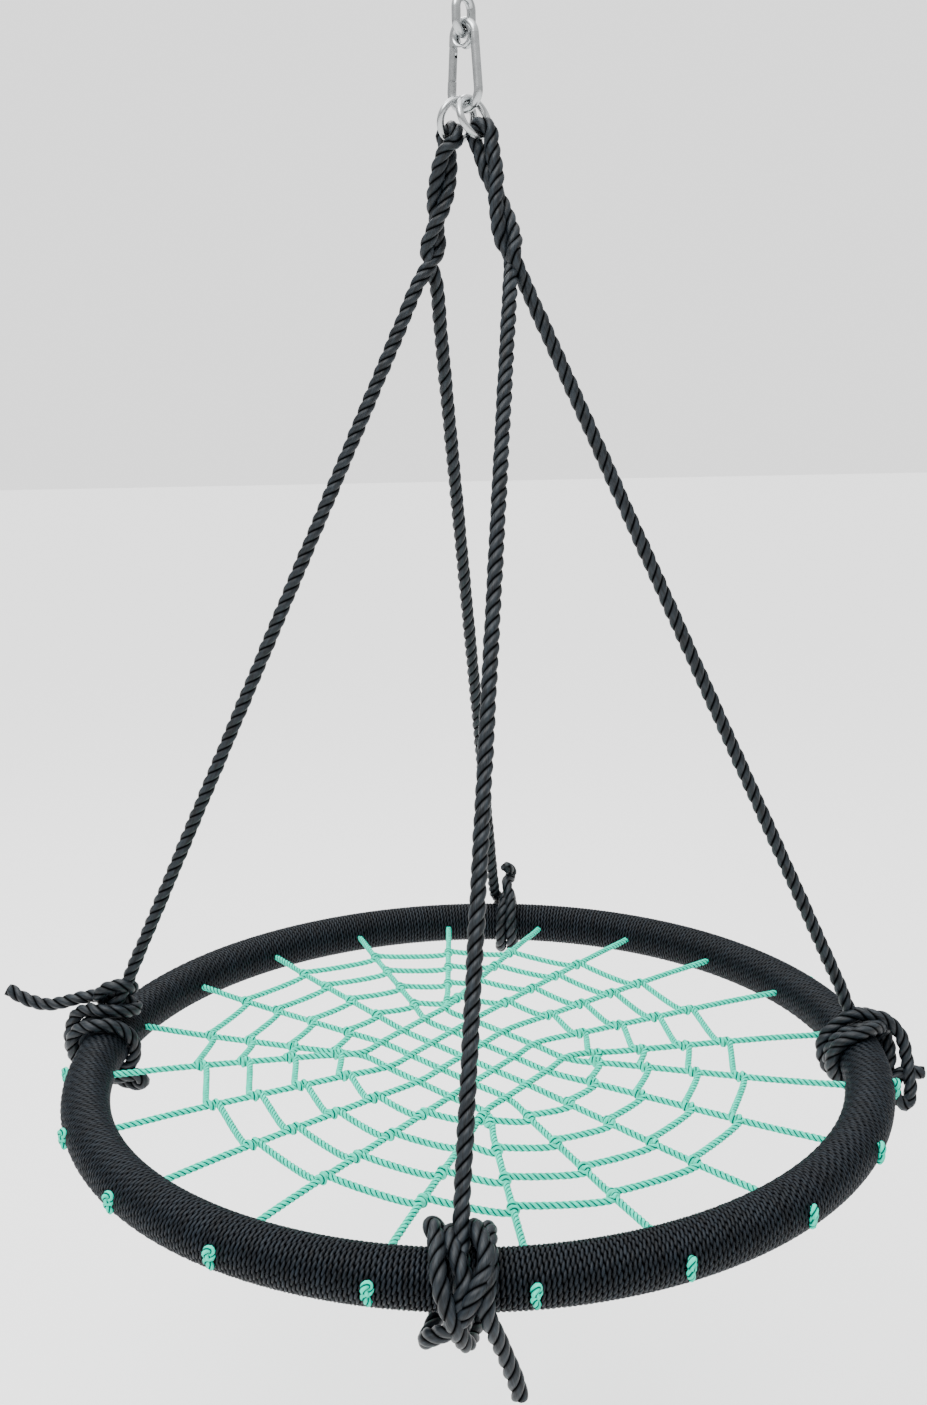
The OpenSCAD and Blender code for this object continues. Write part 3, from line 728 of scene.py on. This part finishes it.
# The way that the ropes of each family run
DIR_A = np.array((cos(radians(52.2)), sin(radians(52.2))))
DIR_B = np.array((cos(radians(-45.8)), sin(radians(-45.8))))
# The ring ropes share a middle and are a little longer one way than the other
RING_MID = np.array((-14.5, -2.0))
NET_RINGS = (344, 288, 228, 168)
OVAL, OVAL_DIR = 0.065, radians(122)


def anchor_dir(m):
    """Direction of a hole in the hoop."""
    return radians(FIRST_ANCHOR - 360 / ANCHORS * (m - 1) + OFF_PLACE.get(m, 0))


def grid_point(i, j):
    """A crossing of the grid: rope i of family a with rope j of family b."""
    return GRID_MID + (i - 3) * PITCH_B * DIR_B + (3 - j) * PITCH_A * DIR_A


def fan_point(m):
    """The grid crossing from which the rope of an anchor fans out."""
    if m == 1:
        return grid_point(1, 1)
    if m <= 6:
        return grid_point(m - 1, 1)
    if m <= 11:
        return grid_point(5, m - 6)
    if m <= 16:
        return grid_point(17 - m, 5)
    return grid_point(1, 22 - m)


def family_a(m):
    """Whether the rope at this anchor is one of the upper family."""
    return 2 <= m <= 6 or 12 <= m <= 16


def anchor_in(m):
    """Where the rope of an anchor comes out of the hoop's inner side."""
    return RIM_R * np.array((cos(anchor_dir(m)), sin(anchor_dir(m))))


def ring_cross(radius, m):
    """Where a ring rope meets a spoke: the rings are slightly oval."""
    def rounded(p):
        d = p - RING_MID
        c, s = cos(OVAL_DIR), sin(OVAL_DIR)
        return np.array(((d[0] * c + d[1] * s) / (1 + OVAL), (d[1] * c - d[0] * s) / (1 - OVAL)))
    p, q = fan_point(m), anchor_in(m)
    a, v = rounded(p), rounded(q) - rounded(p)
    f = (-(a @ v) + sqrt((a @ v) ** 2 - (v @ v) * (a @ a - radius ** 2))) / (v @ v)
    return p + f * (q - p)


def at_level(p, z):
    """A point of the plan at a height in mm, in the swing's own frame."""
    return HOOP_MID + np.array((p[0], p[1], z)) * MM


print("grid is", round(4 * PITCH_B), "by", round(4 * PITCH_A), "mm")

# %% [markdown]
# ### Net ropes
# A net rope starts in an overhand knot outside the hoop, goes in through its hole, crosses the grid and
# leaves the hoop on the far side. One family runs just above the other, so they cross without a knot.

# %% Stopper knots and spokes
def stopper(m):
    """A small overhand knot outside the hoop, from its end in to the hole."""
    knot = [(28, 1, -11), (29.5, 0, -7), (31.5, -2, -2), (29, 1.5, 2), (27.5, 2.5, 6), (29.5, 1, 10),
            (31.5, -1, 9), (32, -2, 5), (30, 1, 1), (26, 0, -1), (22, 0, 0)]
    return [hoop_point(degrees(anchor_dir(m)), *k) for k in knot]


def spoke(m, z):
    """A net rope from its stopper to the outermost grid crossing."""
    inner = [hoop_point(degrees(anchor_dir(m)), o, 0, 0) for o in (0, -24)]
    rim = anchor_in(m)
    rest = [at_level(rim + f * (fan_point(m) - rim), z * min(1, 4 * f)) for f in (0.06, 0.2, 0.4, 0.6, 0.8)]
    return stopper(m) + inner + rest


def net_rope(name, m_1, m_2, grid, z):
    """A net rope from one anchor through its grid crossings to the other. Gives its length and faces."""
    points = spoke(m_1, z) + [at_level(p, z) for p in grid] + spoke(m_2, z)[::-1]
    path, length = smooth(points, NET_STEP)
    soft = laid_rope(path, NET_R, NET_LAY, lobe=4)
    piece = mesh_piece(name.replace("net_rope", "laid_net_rope"), *soft, net_fibre, "seat", name)
    return length, len(soft[1])


made = []
for i in range(1, 6):
    crossings = [grid_point(i, j) for j in range(5, 0, -1)]
    made.append(net_rope(f"net_rope_a{i}", 17 - i, 1 + i, crossings, LEVEL))
for j in range(1, 6):
    crossings = [grid_point(i, j) for i in range(1, 6)]
    made.append(net_rope(f"net_rope_b{j}", 1 if j == 1 else 22 - j, 6 + j, crossings, -LEVEL))
print("net ropes:", [round(length, 3) for length, faces in made], "m")
print(sum(faces for length, faces in made), "faces")

# %% [markdown]
# ### Ring ropes
# A ring rope is one closed loop. At each spoke it takes a full turn round it, so its route there is a
# short coil whose axis is the spoke.

# %% Ring ropes
# The coil round a spoke: its angles, its radius and its step along the spoke, in mm
COIL_ANGLES = (170, 110, 50, -20, -90, -160, -230, -290, -350)
COIL_R, COIL_STEP = 3.3, 1.6


def net_ring(number):
    """A ring rope that takes one turn round each spoke. Gives its length and faces."""
    points = []
    for m in range(1, ANCHORS + 1):
        crossing = ring_cross(NET_RINGS[number - 1], m)
        out = anchor_in(m) - fan_point(m)
        out /= np.linalg.norm(out)
        side = np.array((out[1], -out[0]))
        z = LEVEL if family_a(m) else -LEVEL
        for n, angle in enumerate(COIL_ANGLES):
            a = radians(angle)
            p = crossing + out * COIL_STEP * (n - len(COIL_ANGLES) // 2) + side * cos(a) * COIL_R
            points.append(at_level(p, z + COIL_R * sin(a)))
    path, length = smooth(points, NET_STEP, closed=True)
    soft = laid_rope(path, NET_R, NET_LAY, closed=True, lobe=4)
    piece = mesh_piece(f"laid_net_ring_{number}", *soft, net_fibre, "seat", f"net_ring_{number}")
    return length, len(soft[1])


made = [net_ring(number) for number in range(1, 5)]
print("ring ropes:", [round(length, 3) for length, faces in made], "m")
print(sum(faces for length, faces in made), "faces")

# %% [markdown]
# ## Size
# The soft pieces may stand a little proud of their plain CAD solids, but no more.

# %% Size and finish
print("soft pieces made")
